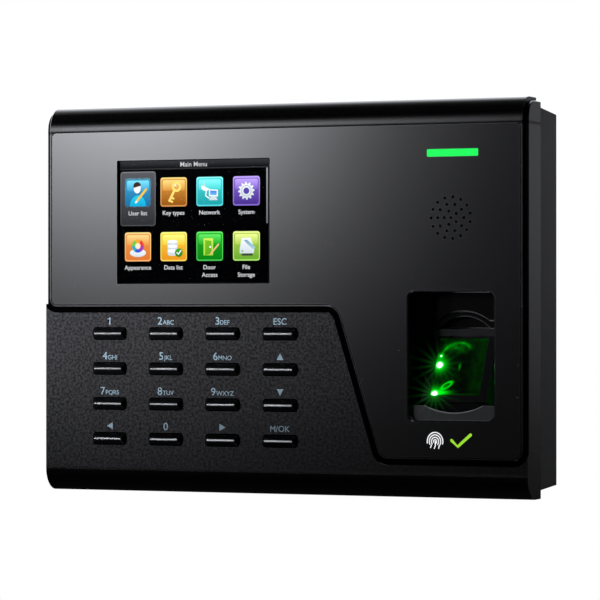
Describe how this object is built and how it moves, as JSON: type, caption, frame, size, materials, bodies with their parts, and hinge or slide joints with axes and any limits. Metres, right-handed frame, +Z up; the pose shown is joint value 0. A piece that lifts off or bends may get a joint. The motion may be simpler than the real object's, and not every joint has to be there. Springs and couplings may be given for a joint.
{
  "type": "fingerprint scanner terminal",
  "caption": "Flat wall-hung access terminal with a colour display, bar-key keypad, speaker grille, status light and a recessed lit fingerprint sensor.",
  "frame": {"origin": "centre of the wall plate's rear face, on the wall", "axes": "+Z up, +X to the right as seen from the front, +Y into the wall; the front faces -Y"},
  "size_m": [0.1864, 0.042, 0.14],
  "materials": {
    "casing_plastic": "fine spark-eroded texture, satin",
    "panel_gloss": "smooth black acrylic, semi-gloss",
    "display_glass": "clear, polished",
    "sensor_glass": "polished, lit green from inside",
    "lens_barrel": "matt black",
    "well_plastic": "satin",
    "key_gloss": "high gloss black with a silver foil line",
    "membrane_silicone": "matt silicone",
    "flap_rubber": "matt",
    "gasket_foam": "foam",
    "light_guide": "translucent, lit green",
    "led_epoxy": "clear epoxy",
    "circuit_board": "green solder mask",
    "chip_plastic": "moulded",
    "button_plastic": "natural nylon",
    "bracket_plastic": "moulded",
    "connector_plastic": "moulded",
    "terminal_green": "moulded",
    "plated_steel": "nickel plated",
    "speaker_metal": "black",
    "battery_wrap": "shrink film",
    "flex_film": "polyimide film",
    "cable_jacket": "PVC",
    "brass": "knurled insert",
    "zinc_plate": "zinc plated sheet",
    "screw_steel": "zinc plated"
  },
  "bodies": {
    "wall_plate": {"wall_plate": "zinc_plate"},
    "terminal": {"front_cover": "casing_plastic", "rear_case": "casing_plastic", "window_panel": "panel_gloss", "display_lens": "display_glass", "lcd_glass": "display_glass", "sensor_prism": "sensor_glass", "sensor_lens": "lens_barrel", "sensor_housing": "lens_barrel", "finger_guide": "well_plastic", "key_membrane": "membrane_silicone", "speaker_gasket": "gasket_foam", "panel_adhesive": "gasket_foam", "led_light_pipe": "light_guide", "backlight": "light_guide", "status_leds": "led_epoxy", "sensor_leds": "led_epoxy", "main_board": "circuit_board", "keypad_board": "circuit_board", "sensor_board": "circuit_board", "led_board": "circuit_board", "processor": "chip_plastic", "tamper_switch": "chip_plastic", "reset_switch": "chip_plastic", "lcd_bracket": "bracket_plastic", "power_jack": "connector_plastic", "terminal_block": "terminal_green", "lcd_frame": "plated_steel", "usb_port": "plated_steel", "ethernet_jack": "plated_steel", "coin_cell": "plated_steel", "speaker": "speaker_metal", "battery": "battery_wrap", "lcd_flex": "flex_film", "keypad_flex": "flex_film", "sensor_cable": "flex_film", "speaker_cable": "cable_jacket", "insert_nut": "brass", "case_screws": "screw_steel", "inner_screws": "screw_steel"},
    "key_1": {"key_1": "key_gloss"},
    "key_2": {"key_2": "key_gloss"},
    "key_3": {"key_3": "key_gloss"},
    "key_esc": {"key_esc": "key_gloss"},
    "key_4": {"key_4": "key_gloss"},
    "key_5": {"key_5": "key_gloss"},
    "key_6": {"key_6": "key_gloss"},
    "key_up": {"key_up": "key_gloss"},
    "key_7": {"key_7": "key_gloss"},
    "key_8": {"key_8": "key_gloss"},
    "key_9": {"key_9": "key_gloss"},
    "key_down": {"key_down": "key_gloss"},
    "key_left": {"key_left": "key_gloss"},
    "key_0": {"key_0": "key_gloss"},
    "key_right": {"key_right": "key_gloss"},
    "key_ok": {"key_ok": "key_gloss"},
    "security_screw": {"security_screw": "screw_steel"},
    "tamper_plunger": {"tamper_plunger": "button_plastic"},
    "reset_button": {"reset_button": "button_plastic"},
    "usb_cover": {"usb_cover": "flap_rubber"}
  },
  "joints": [
    {"name": "terminal_lift", "type": "slide", "parent": "wall_plate", "child": "terminal", "axis": [0, 0, 1], "range_m": [0, 0.008]},
    {"name": "key_1_press", "type": "slide", "parent": "terminal", "child": "key_1", "axis": [0, 1, 0], "range_m": [0, 0.0012], "stiffness_N_per_m": 150, "deforming": ["key_membrane"]},
    {"name": "key_2_press", "type": "slide", "parent": "terminal", "child": "key_2", "axis": [0, 1, 0], "range_m": [0, 0.0012], "stiffness_N_per_m": 150, "deforming": ["key_membrane"]},
    {"name": "key_3_press", "type": "slide", "parent": "terminal", "child": "key_3", "axis": [0, 1, 0], "range_m": [0, 0.0012], "stiffness_N_per_m": 150, "deforming": ["key_membrane"]},
    {"name": "key_esc_press", "type": "slide", "parent": "terminal", "child": "key_esc", "axis": [0, 1, 0], "range_m": [0, 0.0012], "stiffness_N_per_m": 150, "deforming": ["key_membrane"]},
    {"name": "key_4_press", "type": "slide", "parent": "terminal", "child": "key_4", "axis": [0, 1, 0], "range_m": [0, 0.0012], "stiffness_N_per_m": 150, "deforming": ["key_membrane"]},
    {"name": "key_5_press", "type": "slide", "parent": "terminal", "child": "key_5", "axis": [0, 1, 0], "range_m": [0, 0.0012], "stiffness_N_per_m": 150, "deforming": ["key_membrane"]},
    {"name": "key_6_press", "type": "slide", "parent": "terminal", "child": "key_6", "axis": [0, 1, 0], "range_m": [0, 0.0012], "stiffness_N_per_m": 150, "deforming": ["key_membrane"]},
    {"name": "key_up_press", "type": "slide", "parent": "terminal", "child": "key_up", "axis": [0, 1, 0], "range_m": [0, 0.0012], "stiffness_N_per_m": 150, "deforming": ["key_membrane"]},
    {"name": "key_7_press", "type": "slide", "parent": "terminal", "child": "key_7", "axis": [0, 1, 0], "range_m": [0, 0.0012], "stiffness_N_per_m": 150, "deforming": ["key_membrane"]},
    {"name": "key_8_press", "type": "slide", "parent": "terminal", "child": "key_8", "axis": [0, 1, 0], "range_m": [0, 0.0012], "stiffness_N_per_m": 150, "deforming": ["key_membrane"]},
    {"name": "key_9_press", "type": "slide", "parent": "terminal", "child": "key_9", "axis": [0, 1, 0], "range_m": [0, 0.0012], "stiffness_N_per_m": 150, "deforming": ["key_membrane"]},
    {"name": "key_down_press", "type": "slide", "parent": "terminal", "child": "key_down", "axis": [0, 1, 0], "range_m": [0, 0.0012], "stiffness_N_per_m": 150, "deforming": ["key_membrane"]},
    {"name": "key_left_press", "type": "slide", "parent": "terminal", "child": "key_left", "axis": [0, 1, 0], "range_m": [0, 0.0012], "stiffness_N_per_m": 150, "deforming": ["key_membrane"]},
    {"name": "key_0_press", "type": "slide", "parent": "terminal", "child": "key_0", "axis": [0, 1, 0], "range_m": [0, 0.0012], "stiffness_N_per_m": 150, "deforming": ["key_membrane"]},
    {"name": "key_right_press", "type": "slide", "parent": "terminal", "child": "key_right", "axis": [0, 1, 0], "range_m": [0, 0.0012], "stiffness_N_per_m": 150, "deforming": ["key_membrane"]},
    {"name": "key_ok_press", "type": "slide", "parent": "terminal", "child": "key_ok", "axis": [0, 1, 0], "range_m": [0, 0.0012], "stiffness_N_per_m": 150, "deforming": ["key_membrane"]},
    {"name": "security_screw_out", "type": "slide", "parent": "wall_plate", "child": "security_screw", "axis": [0, 0, -1], "range_m": [0, 0.008]},
    {"name": "tamper_plunger_press", "type": "slide", "parent": "terminal", "child": "tamper_plunger", "axis": [0, -1, 0], "range_m": [0, 0.0008], "stiffness_N_per_m": 60},
    {"name": "reset_button_press", "type": "slide", "parent": "terminal", "child": "reset_button", "axis": [0, -1, 0], "range_m": [0, 0.0003], "stiffness_N_per_m": 50},
    {"name": "usb_cover_hinge", "type": "hinge", "parent": "terminal", "child": "usb_cover", "pos_m": [-0.05, -0.011, -0.06645], "axis": [1, 0, 0], "range_deg": [0, 110], "stiffness_Nm_per_rad": 0.02}
  ]
}
